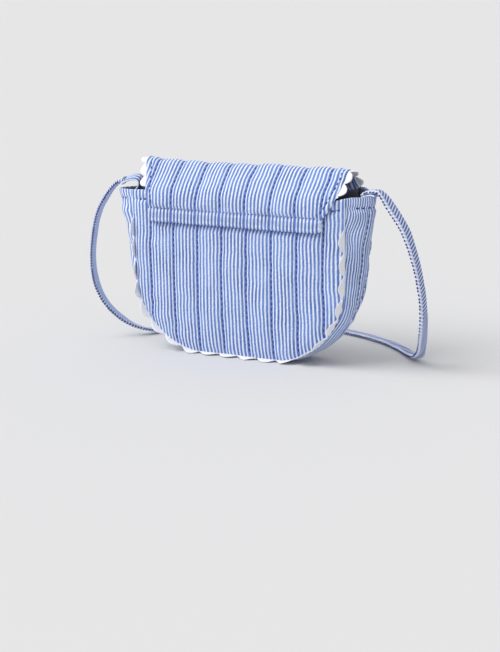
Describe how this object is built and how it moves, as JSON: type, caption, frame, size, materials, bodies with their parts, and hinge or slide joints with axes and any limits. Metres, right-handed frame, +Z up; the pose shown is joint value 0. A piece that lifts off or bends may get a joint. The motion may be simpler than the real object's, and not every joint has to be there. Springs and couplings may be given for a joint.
{
  "type": "shoulder bag",
  "caption": "Small half-moon shoulder bag in blue and white striped quilted cotton, with a flap, scalloped trim in its seams and a flat fabric strap.",
  "frame": {"origin": "on the surface it stands on, under the middle of the bag without its strap", "axes": "+Z up, +X across the bag, -Y out of the front that the flap covers, +Y out of the back"},
  "size_m": [0.2871, 0.1218, 0.145],
  "materials": {
    "striped_cloth": "blue and white seersucker stripe, quilted",
    "strap_cloth": "blue and white seersucker stripe, cross-cut",
    "lining_cloth": "charcoal plain weave lining",
    "wadding": "polyester wadding",
    "scallop_trim": "white woven ric-rac",
    "snap_metal": "polished nickel plate"
  },
  "bodies": {
    "bag": {"back_panel": "striped_cloth", "back_wadding": "wadding", "back_lining": "lining_cloth", "front_panel": "striped_cloth", "front_wadding": "wadding", "front_lining": "lining_cloth", "gusset": "striped_cloth", "gusset_wadding": "wadding", "gusset_lining": "lining_cloth", "back_trim": "scallop_trim", "front_trim": "scallop_trim", "flap_hem": "striped_cloth", "strap_tab_left": "strap_cloth", "strap_tab_right": "strap_cloth", "snap_socket": "snap_metal", "snap_socket_washer": "snap_metal"},
    "flap_top": {"flap_top_shell": "striped_cloth", "flap_top_wadding": "wadding", "flap_top_facing": "striped_cloth", "flap_top_trim": "scallop_trim"},
    "flap_front": {"flap_front_shell": "striped_cloth", "flap_front_wadding": "wadding", "flap_front_facing": "striped_cloth", "flap_front_trim": "scallop_trim", "snap_stud": "snap_metal", "snap_stud_washer": "snap_metal"},
    "strap": {"strap": "strap_cloth"}
  },
  "joints": [
    {"name": "flap_lift", "type": "hinge", "parent": "bag", "child": "flap_top", "pos_m": [0, 0.0224, 0.11], "axis": [-1, 0, 0], "range_deg": [0, 180]},
    {"name": "flap_fold", "type": "hinge", "parent": "flap_top", "child": "flap_front", "pos_m": [0, 0, 0.145], "axis": [-1, 0, 0], "range_deg": [0, 110]},
    {"name": "strap_swing", "type": "hinge", "parent": "bag", "child": "strap", "pos_m": [0, 0.002, 0.1255], "axis": [-1, 0, 0], "range_deg": [0, 140]}
  ]
}
